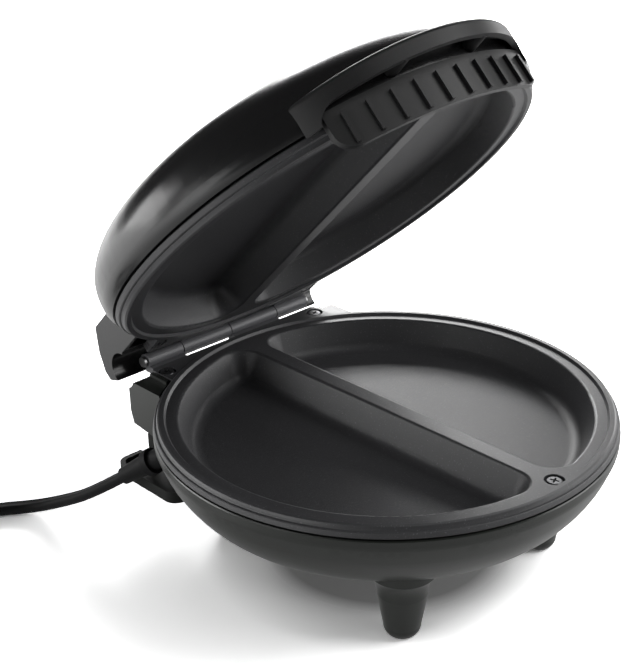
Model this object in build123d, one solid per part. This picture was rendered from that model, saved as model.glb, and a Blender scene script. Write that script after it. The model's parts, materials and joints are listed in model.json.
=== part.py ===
"""Electric omelette maker: a round clam-shell cooker with two half-moon pockets in each plate.

Millimetres. +X is to the user's right, the user stands at -Y, +Z is up, the feet stand on z = 0.
Everything is modelled with the plates' centre at x = y = 0 and the lid closed. The lid's pieces are
then turned open about the hinge, and the whole is moved so that the origin is under the middle of
its outline, without the mains lead.
"""
from build123d import *
from math import cos, hypot, pi, radians, sin, tan
import os

# ---------------------------------------------------------------- driving dimensions
# the two identical plate castings
PLATE_R = 103.0            # foot of the skirt, at the black gap above the bowl
CREST_INSET = 2.2          # from the skirt's foot in to the raised rim
CREST_W = 3.6              # width of the raised rim
CREST_H = 1.2              # its height over the land
CREST_Z = 72.2             # top of the raised rim of the lower plate
SKIRT_H = 5.0              # from the crest down to the gap
LAND_T = 3.2               # thickness of the flat land
POCKET_RIM = 8.8           # land and raised rim outside a pocket's lip
POCKET_DEPTH = 14.0
POCKET_DRAFT = 25.0        # degrees from vertical
POCKET_CORNER = 11.0       # corners of a pocket, seen from above
POCKET_FLOOR_R = 6.0       # round between a pocket's wall and its floor
LIP_R = 1.3                # round of a pocket's lip
DIVIDER_W = 9.0            # between the two lips
CASTING_T = 2.2            # wall of the pockets
FLANGE_HALF = 52.0         # the flange that carries the hinge, half its width
FLANGE_T = 4.0
REAR_SCREW_IN = (4.5, 12.5)    # from the flange's side, and from the hinge axis
FRONT_SCREW_IN = 7.3       # from the raised rim's outer edge

# hinge
HINGE_OUT = 6.0            # hinge axis behind the plates
PARTING = 0.6              # hinge axis over the crest: half the gap between the closed plates
KNUCKLE_R = 3.5
KNUCKLE_PITCH = 30.0       # the inner knuckles' length, gap included
HINGE_INSET = 1.0          # knuckles' ends inside the flange's sides
KNUCKLE_GAP = 0.5
PIN_R = 1.5
PIN_CLEARANCE = 0.05
WELL_R = 8.3               # room round the hinge axis in both housings
OPEN_REST = 44.8           # the lid stands open this far from closed, degrees

# base bowl
WALL = 2.4
SEAM = 0.8                 # black gap between a plate's skirt and its housing
BOWL_OUT = 0.2             # bowl wider than the skirt
BOWL_SIDE_DROP = 3.4       # from the rim down to where the bowl is widest
BOWL_TURN = 35.2           # from the bowl's side in to its flat bottom
BOWL_FLAT_Z = 32.0
BOWL_SHAPE = (2.6, 1.25)   # powers of the bowl's curve
BLOCK_SIDE = 12.0          # rear blocks of bowl and lid, wider than the flange on each side
BLOCK_IN = 4.0             # back of the bowl's block, in front of the hinge axis
BLOCK_DROP = 2.0           # its top under the land
BLOCK_DEEP = 27.0          # its bottom under the crest
CHEEK_T = 2.2              # walls beside the flange
CHEEK_GAP = 0.6

# feet, moulded on the bowl
FOOT_X = 46.0
FOOT_Y = 54.0
FOOT_TIP_R = 8.1
FOOT_ROOT_R = 10.9
PAD_R = 5.2
PAD_T = 1.2
PAD_SINK = 0.7             # the pads' seat in the tips

# lid shell, heights with the lid closed
DOME_OUT = 2.3             # lid shell wider than the skirt
DOME_SIDE_RISE = 5.6       # from its rim up to where it is widest
DOME_FLAT_R = 40.0
DOME_H = 44.0              # from the hinge axis up to its top
DOME_SHAPE = (2.05, 2.6)

# handle: a hood over a ribbed grip panel
HANDLE_TURN = -5.5         # degrees, the whole handle sits left of the lid's middle
HOOD_ARC_R = 70.0
HOOD_OUT = 13.0            # front of the hood, in front of the shell
HOOD_RISE = 6.3            # its top over the shell's widest place
HOOD_ROOT_DROP = 2.1       # its lower edge at the roots, under the shell's rim
HOOD_EDGE_DROP = 1.4       # its lower edge at the middle, under the shell's widest place
HOOD_ARCH_HALF = 53.0      # half the width of the arch between its two roots
HOOD_ARCH_R = 7.0          # corners of the arch
HOOD_T = 2.6
GRIP_OUT = 1.9             # outside the shell
GRIP_T = 2.2
GRIP_ANGLE = 28.5          # half the sweep of the grip panel
GRIP_DROP = 7.9            # its lower edge under the hinge axis
GRIP_RISE = 2.8            # its top over the shell's rim
GRIP_CORNER = 8.0
RIB_COUNT = 10
RIB_PITCH = 5.5            # degrees
RIB_SHORT = 3.4            # ribs end under the grip's top
RIB_T = 1.5
RIB_H = 1.6

HANDLE_SCREW_X = (-20.0, 20.0)
HANDLE_SCREW_RISE = 1.2    # over the shell's widest place
HANDLE_SCREW_SEAT = 3.0    # their heads' seat, in from the shell's inner face
HANDLE_PAD_R = 4.0         # the seat's pad on the shell
BOSS_R = 2.9
BOSS_WEB = 1.0             # half the thickness of the web over each boss
BOSS_END = 3.0             # left solid beyond the screw's bore
BOSS_IN = 10.6             # middle of the screw bosses, from the hood's front
BOSS_L = 12.0

# signal lights in the lid's top
LENS_R = 3.2
LENS_X = (-9.0, 9.0)
LENS_Y = -28.0
LENS_RISE = 1.2            # over the lid's top
LENS_FLANGE = 1.2

# heating
TUBE_R = 3.25
ELEMENT_IN = (32.0, 34.0, 14.0)    # loop's sides, front and ends, from the pocket's outer curve
ELEMENT_LEG_X = 14.0
CLAMP_Y = 30.0
CLAMP = (134.0, 14.0, 1.5)
REFLECTOR_IN = 16.2        # from the bowl's side
REFLECTOR_T = 0.8
REFLECTOR_RISE = 7.4       # of its sloping rim
REFLECTOR_GAP = 5.3        # from the clamp bars to the reflector's flat
POST_X = 32.0
FUSE_X = 17.0
TERMINAL = (20.0, 10.0, 8.0)
TERMINAL_X = -37.0
TERMINAL_IN = 22.2         # from the hinge axis
TERMINAL_RISE = 4.4        # over the block's bottom
TERMINAL_HOLE_R = 2.0
WIRE_R = 1.1

# cord-wrap cleats at the back of the bowl
CLEAT_SIDE = 13.0          # outer edge beyond the block's side
CLEAT_L = 45.0
CLEAT_BACK_IN = 2.0        # rear edge in front of the block's back
CLEAT_DROP = 15.6          # top under the block's bottom
CLEAT_T = 3.4
CLEAT_LIP = 2.2
CLEAT_LIP_W = 2.4
CLEAT_FOOT_ROOM = (16.0, 18.0)     # the horn is cut away round the rear foot
CLEAT_IN = 32.0
CLEAT_POST = (3.4, 3.8)
CLEAT_POST_IN = (2.0, 13.5)    # from the block's side and back
CLEAT_BOSS_R = 4.5
CLEAT_BOSS_IN = (26.0, 11.5)

# mains lead: a flat two-core lead, its width here
CORD_D = 7.4
CORD_EXIT = (-75.5, 72.5, 44.0)
CORD_AIM = (-0.36, 0.74, -0.57)
BUSHING_L = 20.0
CORD_ROUTE = (
    (-99.0, 119.0, 9.5), (-107.3, 132.9, 4.2), (-120.5, 145.5, CORD_D / 2),
    (-138.0, 157.0, CORD_D / 2),
)
CORD_FIRST_RUN = 22.0      # straight out of the sleeve
CORD_LAST_RUN = 22.0       # straight before the coil
COIL_AT = (-204.0, 140.0)  # the coil's middle
COIL_START = 60.0          # where its outer turn starts, degrees round from +X
COIL_INNER_R = 31.0        # where the spiral turns back outward
COIL_TURNS_IN = 2.25       # turns of the lower layer, inward
COIL_TURNS_OUT = 0.75      # turns of the upper layer, outward
COIL_GAP = 0.5             # between neighbouring turns, and between the layers
COIL_LIFT = 0.7            # the tie's strap passes under the turns
TIE_T = 0.5
TIE_W = 8.0
TIE_ANGLE = 270.0          # where the tie sits, round from the coil's start
PLUG = (24.0, 21.0, 8.6)   # length, width, height
PIN_TIP = 17.0             # length of the plug's pins
PIN_PITCH = 12.7

FIT = 0.3                  # between pieces that lie beside each other

# ---------------------------------------------------------------- worked out from these
HINGE_Y = PLATE_R + HINGE_OUT
HINGE_Z = CREST_Z + PARTING
HINGE_HALF = FLANGE_HALF - HINGE_INSET
CREST_R = PLATE_R - CREST_INSET
LAND_Z = CREST_Z - CREST_H
GAP_Z = CREST_Z - SKIRT_H
RIM_Z = GAP_Z - SEAM
POCKET_X = DIVIDER_W / 2
POCKET_R = CREST_R - POCKET_RIM
FLANGE_BACK = PLATE_R
FLANGE_FRONT = HINGE_Y - 49.0          # under the plate's disc
REAR_SCREW_X = FLANGE_HALF - REAR_SCREW_IN[0]
REAR_SCREW_Y = HINGE_Y - REAR_SCREW_IN[1]
PLATE_SCREWS = ((-REAR_SCREW_X, REAR_SCREW_Y), (REAR_SCREW_X, REAR_SCREW_Y), (0.0, FRONT_SCREW_IN - CREST_R))
PAN_Z = LAND_Z - POCKET_DEPTH - CASTING_T       # underside of the pockets
TUBE_Z = PAN_Z - FIT - TUBE_R
CLAMP_Z = TUBE_Z - TUBE_R - CLAMP[2]            # underside of the clamp bars
REFLECTOR_Z = CLAMP_Z - REFLECTOR_GAP
ELEMENT_HALF = POCKET_R - ELEMENT_IN[0]
ELEMENT_FRONT = ELEMENT_IN[1] - POCKET_R
ELEMENT_END_Y = POCKET_R - ELEMENT_IN[2]
BOWL_R = PLATE_R + BOWL_OUT
BOWL_SIDE_Z = RIM_Z - BOWL_SIDE_DROP
BOWL_FLAT_R = BOWL_R - BOWL_TURN
BOWL_FLOOR = BOWL_FLAT_Z + WALL
REFLECTOR_R = BOWL_R - REFLECTOR_IN
BLOCK_HALF = FLANGE_HALF + BLOCK_SIDE
BLOCK_BACK = HINGE_Y - BLOCK_IN
BLOCK_TOP = LAND_Z - BLOCK_DROP
BLOCK_BOTTOM = CREST_Z - BLOCK_DEEP
LID_RIM_Z = 2 * HINGE_Z - RIM_Z
DOME_R = PLATE_R + DOME_OUT
DOME_SIDE_Z = LID_RIM_Z + DOME_SIDE_RISE
DOME_TOP_Z = HINGE_Z + DOME_H
HOOD_REACH = DOME_R + HOOD_OUT
HOOD_TOP = DOME_SIDE_Z + HOOD_RISE
HOOD_ROOT = LID_RIM_Z - HOOD_ROOT_DROP
HOOD_EDGE = DOME_SIDE_Z - HOOD_EDGE_DROP
GRIP_R = DOME_R + GRIP_OUT
GRIP_BOTTOM = HINGE_Z - GRIP_DROP
GRIP_TOP = LID_RIM_Z + GRIP_RISE
RIB_TOP = GRIP_TOP - RIB_SHORT
HANDLE_SCREW_Z = DOME_SIDE_Z + HANDLE_SCREW_RISE
HANDLE_SEAT_Y = HANDLE_SCREW_SEAT + WALL - DOME_R
BOSS_Y = BOSS_IN - HOOD_REACH
TERMINAL_AT = (TERMINAL_X, HINGE_Y - TERMINAL_IN, BLOCK_BOTTOM + TERMINAL_RISE)
CLEAT_OUT = BLOCK_HALF + CLEAT_SIDE
CLEAT_BACK = BLOCK_BACK - CLEAT_BACK_IN
CLEAT_FRONT = CLEAT_BACK - CLEAT_L
CLEAT_TOP = BLOCK_BOTTOM - CLEAT_DROP
CLEAT_STEP = (FOOT_X + CLEAT_FOOT_ROOM[0], FOOT_Y + CLEAT_FOOT_ROOM[1])
CLEAT_POST_AT = (BLOCK_HALF - CLEAT_POST_IN[0], BLOCK_BACK - CLEAT_POST_IN[1])
CLEAT_BOSS_AT = (BLOCK_HALF - CLEAT_BOSS_IN[0], BLOCK_BACK - CLEAT_BOSS_IN[1])
FUSE_Z = PAN_Z - FIT - 2.2
HINGE = Axis((0, HINGE_Y, HINGE_Z), (-1, 0, 0))


# ---------------------------------------------------------------- helpers
def turned(outline):
    """A solid of revolution about Z from lines drawn as (radius, height)."""
    return revolve(make_face(Plane.XZ * outline), Axis.Z, 360)


def rod(radius, z0, z1, at=(0, 0)):
    return Pos(at[0], at[1], (z0 + z1) / 2) * Cylinder(radius, z1 - z0)


def block(low, high):
    size = [b - a for a, b in zip(low, high)]
    return Pos(*[(a + b) / 2 for a, b in zip(low, high)]) * Box(*size)


def side_prism(points, half):
    """A prism across X, from an outline given as (y, z)."""
    return extrude(make_face(Plane.YZ * Polyline(points, close=True)), half, both=True)


def shell_curve(r_side, z_side, r_flat, z_flat, powers, count=8):
    """The housings' outline: from the widest ring, round to the flat end."""
    side_power, end_power = powers
    points = []
    for i in range(count):
        t = pi / 2 * i / (count - 1)
        points.append((r_flat + (r_side - r_flat) * abs(cos(t)) ** (2 / side_power),
                       z_side + (z_flat - z_side) * sin(t) ** (2 / end_power)))
    down = 1 if z_flat > z_side else -1
    return Spline(points, tangents=[(0, down), (-1, 0)])


def tube(path, radius):
    return sweep(Plane(path @ 0, z_dir=path % 0) * Circle(radius), path=path)


def turned_over(shape):
    """A lower piece put in the lid: turned about the fore-and-aft line at the hinge's height."""
    return shape.rotate(Axis((0, 0, HINGE_Z), (0, 1, 0)), 180)


def phillips_screw(at, z_top, head_r, head_h, shank_r, length):
    """Pan head screw, its head's top at z_top and its shank pointing down."""
    head = rod(head_r, z_top - head_h, z_top, at)
    head = fillet(head.edges().filter_by(GeomType.CIRCLE).group_by(Axis.Z)[-1], head_h * 0.45)
    arm, slot, depth = head_r * 1.15, head_r * 0.26, head_h * 0.6
    cross = Box(arm, slot, depth) + Box(slot, arm, depth)
    head -= Pos(at[0], at[1], z_top - depth / 2) * Rot(0, 0, 20) * cross
    return head + rod(shank_r, z_top - head_h - length, z_top - head_h, at)


# ---------------------------------------------------------------- plates
def pocket_plug(side, grow, bottom, top):
    """What a pocket holds: its half-moon outline, drafted and rounded at the floor."""
    x0 = POCKET_X - grow
    radius = POCKET_R + grow
    outline = Circle(radius) & Pos(x0 + radius, 0) * Rectangle(2 * radius, 2 * radius)
    outline = fillet(outline.vertices(), POCKET_CORNER + grow)
    if side < 0:
        outline = mirror(outline, Plane.YZ)
    body = extrude(Pos(0, 0, top) * outline, bottom - top, taper=POCKET_DRAFT)
    return fillet(body.faces().sort_by(Axis.Z)[0].edges(), POCKET_FLOOR_R + grow)


def knuckle(x0, x1):
    """One knuckle of the lower plate with the web that joins it to the flange."""
    barrel = Pos((x0 + x1) / 2, HINGE_Y, HINGE_Z) * Rot(0, 90, 0) * Cylinder(KNUCKLE_R, x1 - x0)
    web = block((x0, FLANGE_BACK - 2, LAND_Z - FLANGE_T + 0.6), (x1, HINGE_Y, LAND_Z - 0.2))
    return barrel + web


def lower_plate():
    crest_in = CREST_R - CREST_W
    step_z = GAP_Z + SKIRT_H * 0.5
    under = LAND_Z - LAND_T
    outline = Polyline(
        (0, under), (CREST_R - 2.4, under), (CREST_R - 2.4, GAP_Z), (PLATE_R - 0.2, GAP_Z),
        (PLATE_R, GAP_Z + 0.4), (PLATE_R - 0.5, step_z - 0.3), (PLATE_R - 0.8, step_z),
        (CREST_R + 0.8, step_z + 0.2), (CREST_R + 0.1, CREST_Z - 0.5),
        (CREST_R - 0.6, CREST_Z), (crest_in + 0.9, CREST_Z), (crest_in, LAND_Z), (0, LAND_Z),
        close=True)
    plate = turned(outline)
    pans = [pocket_plug(side, CASTING_T, PAN_Z, LAND_Z - 0.5) for side in (-1, 1)]
    plate = plate + pans[0] + pans[1]
    flange = block((-FLANGE_HALF, FLANGE_FRONT, LAND_Z - FLANGE_T), (FLANGE_HALF, FLANGE_BACK, LAND_Z))
    flange = chamfer(flange.edges().filter_by(Axis.Z).group_by(Axis.Y)[-1], 1.5)
    flange -= rod(CREST_R - 1.0, LAND_Z - FLANGE_T - 1, LAND_Z + 1)
    plate += flange
    for x0, x1 in ((-HINGE_HALF, -KNUCKLE_PITCH), (0, KNUCKLE_PITCH)):
        plate += knuckle(x0 + KNUCKLE_GAP / 2, x1 - KNUCKLE_GAP / 2)
    for at in ((0, -CLAMP_Y), (0, CLAMP_Y), (0, 0)):
        foot = CLAMP_Z + CLAMP[2] if at[1] else PAN_Z
        plate += rod(4.5, foot, LAND_Z - 1, at)
    for side in (-1, 1):
        plug = pocket_plug(side, 0, PAN_Z + CASTING_T, LAND_Z)
        plate -= plug
    at_land = plate.edges().filter_by_position(Axis.Z, LAND_Z - 0.01, LAND_Z + 0.01)
    lips = [e for e in at_land if hypot((e @ 0.5).X, (e @ 0.5).Y) < POCKET_R + 1]
    plate = fillet(lips, LIP_R)
    for at in PLATE_SCREWS:
        plate += rod(5.0, LAND_Z - FLANGE_T, LAND_Z - 1, at)
        plate -= rod(4.3, LAND_Z - 1.7, LAND_Z + 1, at)
        plate -= rod(1.9, LAND_Z - FLANGE_T - 1, LAND_Z + 1, at)
    bore = Pos(0, HINGE_Y, HINGE_Z) * Rot(0, 90, 0) * Cylinder(PIN_R + PIN_CLEARANCE, 3 * HINGE_HALF)
    plate -= bore
    for at in ((0, -CLAMP_Y), (0, CLAMP_Y)):
        plate -= rod(1.6, CLAMP_Z, CLAMP_Z + 9, at)
    return plate


def plate_screws():
    return [phillips_screw(at, LAND_Z - 0.3, 3.3, 1.4, 1.7, 13.0) for at in PLATE_SCREWS]


# ---------------------------------------------------------------- heating parts under a plate
def heating_element():
    legs = ELEMENT_END_Y
    half, front = ELEMENT_HALF, ELEMENT_FRONT
    path = FilletPolyline(
        (-ELEMENT_LEG_X, legs, TUBE_Z), (-ELEMENT_LEG_X, 50, TUBE_Z), (-half, 38, TUBE_Z),
        (-half, front, TUBE_Z), (half, front, TUBE_Z), (half, 38, TUBE_Z),
        (ELEMENT_LEG_X, 50, TUBE_Z), (ELEMENT_LEG_X, legs, TUBE_Z), radius=12)
    element = tube(path, TUBE_R)
    for side in (-1, 1):
        element += Pos(side * ELEMENT_LEG_X, legs + 4, TUBE_Z) * Rot(90, 0, 0) * Cylinder(1.3, 9)
    return element


def clamp_bars():
    bars = []
    length, width, thick = CLAMP
    for side in (-1, 1):
        bar = Pos(0, side * CLAMP_Y, CLAMP_Z + thick / 2) * Box(length, width, thick)
        bar = fillet(bar.edges().filter_by(Axis.Z), 4)
        bars.append(bar - rod(1.9, CLAMP_Z - 1, CLAMP_Z + 3, (0, side * CLAMP_Y)))
    return bars


def clamp_screws():
    head = 1.8
    screws = []
    for side in (-1, 1):
        screw = rod(3.2, CLAMP_Z - head, CLAMP_Z, (0, side * CLAMP_Y))
        screws.append(screw + rod(1.5, CLAMP_Z, CLAMP_Z + 8, (0, side * CLAMP_Y)))
    return screws


def reflector():
    flat_r, z, t, rim = REFLECTOR_R - 17, REFLECTOR_Z, REFLECTOR_T, REFLECTOR_Z + REFLECTOR_RISE
    outline = Polyline((0, z - t), (flat_r, z - t), (REFLECTOR_R, rim), (REFLECTOR_R + 2, rim),
                       (REFLECTOR_R + 2, rim + t), (REFLECTOR_R - t, rim + t), (flat_r - t, z),
                       (0, z), close=True)
    dish = turned(outline)
    for x in (-POST_X, POST_X):
        for y in (-POST_X, POST_X):
            dish -= rod(1.8, z - 2, z + 2, (x, y))
    return dish


def reflector_screws():
    screws = []
    for x in (-POST_X, POST_X):
        for y in (-POST_X, POST_X):
            screw = rod(3.0, REFLECTOR_Z, REFLECTOR_Z + 1.5, (x, y))
            screws.append(screw + rod(1.4, REFLECTOR_Z - 6, REFLECTOR_Z, (x, y)))
    return screws


# ---------------------------------------------------------------- base
def foot(x, y):
    root_z, tip_z, top = BOWL_FLAT_Z - 10.5, 5.2, BOWL_FLAT_Z + 6
    seat = PAD_R + 0.1
    low = PAD_T - PAD_SINK
    outline = (Polyline((0, PAD_T), (seat, PAD_T), (seat, low), (seat + 0.5, low))
               + ThreePointArc((seat + 0.5, low), (seat + 1.8, 1.9), (FOOT_TIP_R, tip_z))
               + Line((FOOT_TIP_R, tip_z), (FOOT_ROOT_R, root_z))
               + ThreePointArc((FOOT_ROOT_R, root_z), (FOOT_ROOT_R + 0.9, root_z + 5.4),
                               (FOOT_ROOT_R + 3.6, BOWL_FLAT_Z - 0.2))
               + Polyline((FOOT_ROOT_R + 3.6, BOWL_FLAT_Z - 0.2),
                          (FOOT_ROOT_R + 3.6, top), (0, top), (0, PAD_T)))
    return Pos(x, y, 0) * turned(outline)


def bowl_solid(inset):
    """The bowl filled in, its surface drawn in by a wall's thickness or none."""
    rim_top = RIM_Z if inset == 0 else RIM_Z + 30
    side_r, flat_z = BOWL_R - inset, BOWL_FLAT_Z + inset
    curve = shell_curve(side_r, BOWL_SIDE_Z, BOWL_FLAT_R, flat_z, BOWL_SHAPE)
    rest = Polyline((BOWL_FLAT_R, flat_z), (0, flat_z), (0, rim_top), (side_r - 0.3, rim_top),
                    (side_r, min(rim_top, RIM_Z) - 0.5), (side_r, BOWL_SIDE_Z))
    return turned(curve + rest)


def rear_block(inset):
    """The block behind the bowl that carries the hinge end of the plate."""
    back, low = BLOCK_BACK - inset, BLOCK_BOTTOM + inset
    top = BLOCK_TOP if inset == 0 else BLOCK_TOP + 30
    front = FLANGE_FRONT
    shape = side_prism([(front, low), (front + 28, low), (back - 1.8, low + 1.8), (back, low + 8),
                        (back, top), (front, top)], BLOCK_HALF - inset)
    return shape


def bottom_housing():
    well = Pos(0, HINGE_Y, HINGE_Z) * Rot(0, 90, 0) * Cylinder(WELL_R + 0.5, 4 * BLOCK_HALF)
    plate_room = rod(PLATE_R + 0.5, RIM_Z, HINGE_Z + 20)
    outside = rear_block(0)
    outside = fillet(outside.edges().filter_by(Axis.X).group_by(Axis.Z)[0], 1.5)
    outside = outside - plate_room + bowl_solid(0)
    for x in (-FOOT_X, FOOT_X):
        for y in (-FOOT_Y, FOOT_Y):
            outside += foot(x, y)
    housing = outside - bowl_solid(WALL) - rear_block(WALL)
    cheek_in = FLANGE_HALF + CHEEK_GAP
    for side in (-1, 1):
        x0, x1 = sorted((side * cheek_in, side * (cheek_in + CHEEK_T)))
        cheek = block((x0, FLANGE_FRONT + 18, BLOCK_TOP - 9), (x1, BLOCK_BACK - 1, LAND_Z - 0.4))
        x0, x1 = sorted((side * (cheek_in + 1), side * (BLOCK_HALF - 1)))
        shoulder = block((x0, FLANGE_FRONT + 18, BLOCK_TOP - WALL), (x1, BLOCK_BACK - 1, BLOCK_TOP))
        housing += cheek + shoulder - plate_room
    for x, y in PLATE_SCREWS[:2]:
        housing += rod(4.2, BLOCK_BOTTOM + 1, LAND_Z - FLANGE_T - 0.1, (x, y))
    front_x, front_y = PLATE_SCREWS[2]
    stem = rod(4.2, BOWL_FLAT_Z, LAND_Z - FLANGE_T - 0.1, (front_x, front_y))
    housing += stem & bowl_solid(WALL / 2)
    for x in (-POST_X, POST_X):
        for y in (-POST_X, POST_X):
            housing += rod(4.0, BOWL_FLOOR - 1, REFLECTOR_Z - REFLECTOR_T, (x, y))
    x, y, z = TERMINAL_AT
    housing += block((x + 3, y + 2, BLOCK_BOTTOM + 1), (x + TERMINAL[0] - 3, y + 8, z - 0.1))
    housing -= well
    for x, y in PLATE_SCREWS:
        housing -= rod(1.75, LAND_Z - 18, LAND_Z, (x, y))
    for x in (-POST_X, POST_X):
        for y in (-POST_X, POST_X):
            housing -= rod(1.45, REFLECTOR_Z - 7, REFLECTOR_Z, (x, y))
    for side in (-1, 1):
        at = (side * CLEAT_BOSS_AT[0], CLEAT_BOSS_AT[1])
        housing -= rod(1.55, BLOCK_BOTTOM - 1, BLOCK_BOTTOM + WALL + 2, at)
    inlet = Pos(*CORD_EXIT) * Rot(*aim_angles()) * Cylinder(CORD_D / 2 + 1.2, 30)
    return housing - inlet


def aim_angles():
    """Turns that point local Z along the lead's exit."""
    return Plane((0, 0, 0), z_dir=CORD_AIM).location.orientation


def exit_plane(distance):
    point = Vector(*CORD_EXIT) + Vector(*CORD_AIM).normalized() * distance
    return Plane(point, z_dir=CORD_AIM)


def cord_bushing():
    """Collar in the bowl's wall and the tapered sleeve that keeps the lead from kinking."""
    collar = extrude(exit_plane(-14) * Circle(CORD_D / 2 + 1.0), 15)
    shoulder = extrude(exit_plane(0.6) * Circle(CORD_D / 2 + 2.6), 3.4)
    sleeve = loft([exit_plane(4) * Circle(CORD_D / 2 + 1.3),
                   exit_plane(BUSHING_L) * Circle(CORD_D / 2 + 0.35)])
    return collar + shoulder + sleeve


def cleat(side):
    """Flat horn on which the lead is wound, hung from the rear block by two posts."""
    low = CLEAT_TOP - CLEAT_T
    x_out, x_step, x_in = side * CLEAT_OUT, side * CLEAT_STEP[0], side * CLEAT_IN
    y_front, y_step, y_back = CLEAT_FRONT, CLEAT_STEP[1], CLEAT_BACK
    outline = make_face(Polyline((x_out, y_front), (x_step, y_front), (x_step, y_step),
                                 (x_in, y_step), (x_in, y_back), (x_out, y_back), close=True))
    outline = fillet(outline.vertices().filter_by_position(Axis.X, *sorted((x_out - 1, x_out + 1))), 6.5)
    lip = outline - offset(outline, -CLEAT_LIP_W)
    lip &= Pos(x_out, y_front) * Rectangle(2 * (CLEAT_OUT - CLEAT_STEP[0]), 4 * BLOCK_HALF)
    horn = extrude(Pos(0, 0, low) * outline, CLEAT_T) + extrude(Pos(0, 0, low) * lip, CLEAT_T + CLEAT_LIP)
    w, d = CLEAT_POST
    x, y = side * CLEAT_POST_AT[0], CLEAT_POST_AT[1]
    horn += block((x - w / 2, y - d / 2, low), (x + w / 2, y + d / 2, BLOCK_BOTTOM - 0.1))
    horn += rod(CLEAT_BOSS_R, low, BLOCK_BOTTOM - 0.1, (side * CLEAT_BOSS_AT[0], CLEAT_BOSS_AT[1]))
    return horn - rod(1.55, low - 1, BLOCK_BOTTOM + 1, (side * CLEAT_BOSS_AT[0], CLEAT_BOSS_AT[1]))


def cleat_screws():
    low = CLEAT_TOP - CLEAT_T
    screws = []
    for side in (-1, 1):
        at = (side * CLEAT_BOSS_AT[0], CLEAT_BOSS_AT[1])
        screws.append(rod(3.0, low - 1.6, low, at) + rod(1.5, low, BLOCK_BOTTOM + WALL + 1, at))
    return screws


def thermostat():
    z1 = PAN_Z - FIT
    body = rod(8.5, z1 - 6.5, z1) + rod(6.5, z1 - 9.5, z1 - 6.5)
    for side in (-1, 1):
        body += block((side * 4 - 3, -1, z1 - 10), (side * 4 + 3, 1, z1 - 6.5))
    return body


def thermal_fuse():
    body = Pos(FUSE_X, 0, FUSE_Z) * Rot(0, 90, 0) * Cylinder(2.2, 12)
    body = fillet(body.edges(), 0.8)
    return body + Pos(FUSE_X, 0, FUSE_Z) * Rot(0, 90, 0) * Cylinder(0.6, 15.4)


def terminal_block():
    x, y, z = TERMINAL_AT
    length, width, height = TERMINAL
    body = block((x, y, z), (x + length, y + width, z + height))
    for i in range(3):
        body -= rod(TERMINAL_HOLE_R, z + 4, z + height + 1, (x + 4 + 6 * i, y + width / 2))
    return body


def terminal_screws():
    x, y, z = TERMINAL_AT
    radius = TERMINAL_HOLE_R - 0.2
    return [rod(radius, z + 4, z + 7, (x + 4 + 6 * i, y + TERMINAL[1] / 2)) for i in range(3)]


def lead(*points):
    return tube(FilletPolyline(*points, radius=3), WIRE_R)


def lower_wires():
    """Inlet to terminal block, block to thermostat, fuse to element."""
    x, y, z = TERMINAL_AT
    x0, x1, z = x - 0.8, x + TERMINAL[0] + 0.8, TUBE_Z
    low = REFLECTOR_Z + 3.2
    pin_y = ELEMENT_END_Y + 8.5 + FIT
    return [
        lead((x0, y + 2.2, z), (-46, y - 4.8, z), (-62, y - 26.8, z)),
        lead((x0, y + 6, z), (-48, y + 0.7, z), (-54, y - 7.8, z), (-64.5, y - 24.8, z)),
        lead((x1, y + 6.2, z), (-7.5, y + 6.2, z), (-7.5, 14, z), (-6, 7.6, z)),
        lead((FUSE_X + 8, 0, FUSE_Z), (32, 0, FUSE_Z), (32, 4, low), (32, 54, low),
             (26, ELEMENT_END_Y - 2, z), (ELEMENT_LEG_X + 6, ELEMENT_END_Y + 14, z),
             (ELEMENT_LEG_X, ELEMENT_END_Y + 14, z), (ELEMENT_LEG_X, pin_y, z)),
    ]


# ---------------------------------------------------------------- hinge
def hinge_pin():
    pin = Pos(0, HINGE_Y, HINGE_Z) * Rot(0, 90, 0) * Cylinder(PIN_R, 2 * HINGE_HALF + 2.4)
    head = Pos(-HINGE_HALF - 1.0, HINGE_Y, HINGE_Z) * Rot(0, 90, 0) * Cylinder(2.5, 1.2)
    groove_x = HINGE_HALF + 0.6
    groove = Pos(groove_x, HINGE_Y, HINGE_Z) * Rot(0, 90, 0) * (Cylinder(4, 0.7) - Cylinder(1.1, 0.7))
    return pin + head - groove


def hinge_clip():
    ring = Pos(HINGE_HALF + 0.6, HINGE_Y, HINGE_Z) * Rot(0, 90, 0) * (
        Cylinder(2.9, 0.6) - Cylinder(1.15, 0.6))
    slot = block((HINGE_HALF, HINGE_Y - 0.9, HINGE_Z), (HINGE_HALF + 2, HINGE_Y + 0.9, HINGE_Z + 5))
    return ring - slot


# ---------------------------------------------------------------- lid, drawn closed
def dome_solid(inset):
    rim = LID_RIM_Z if inset == 0 else LID_RIM_Z - 30
    side_r, top = DOME_R - inset, DOME_TOP_Z - inset
    rim_r = BOWL_R + 0.4 - inset
    curve = shell_curve(side_r, DOME_SIDE_Z, DOME_FLAT_R, top, DOME_SHAPE)
    rest = (Polyline((DOME_FLAT_R, top), (0, top), (0, rim), (rim_r, rim), (rim_r, LID_RIM_Z))
            if inset else Polyline((DOME_FLAT_R, top), (0, top), (0, rim), (rim_r, rim)))
    bulge = ((rim_r + side_r) / 2 + 0.25, (LID_RIM_Z + DOME_SIDE_Z) / 2 - 0.6)
    flare = ThreePointArc((rim_r, LID_RIM_Z), bulge, (side_r, DOME_SIDE_Z))
    return turned(curve + rest + flare)


def lid_block():
    """The lid's rear block: its tail hangs behind the hinge and stops on the bowl's block."""
    y, z = HINGE_Y, HINGE_Z
    outline = [(y - 49, z + 6), (y - 7.4, z + 6), (y + 3.4, z - 4.6), (y + 13.8, z + 1.2),
               (y + 14.2, z + 6), (y + 10.5, z + 15), (y + 2.8, z + 25), (y - 49, z + 25)]
    return side_prism(outline, BLOCK_HALF)


def on_handle(shape):
    """Turns what is drawn at the lid's middle to where the handle is."""
    return shape.rotate(Axis.Z, HANDLE_TURN)


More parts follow.
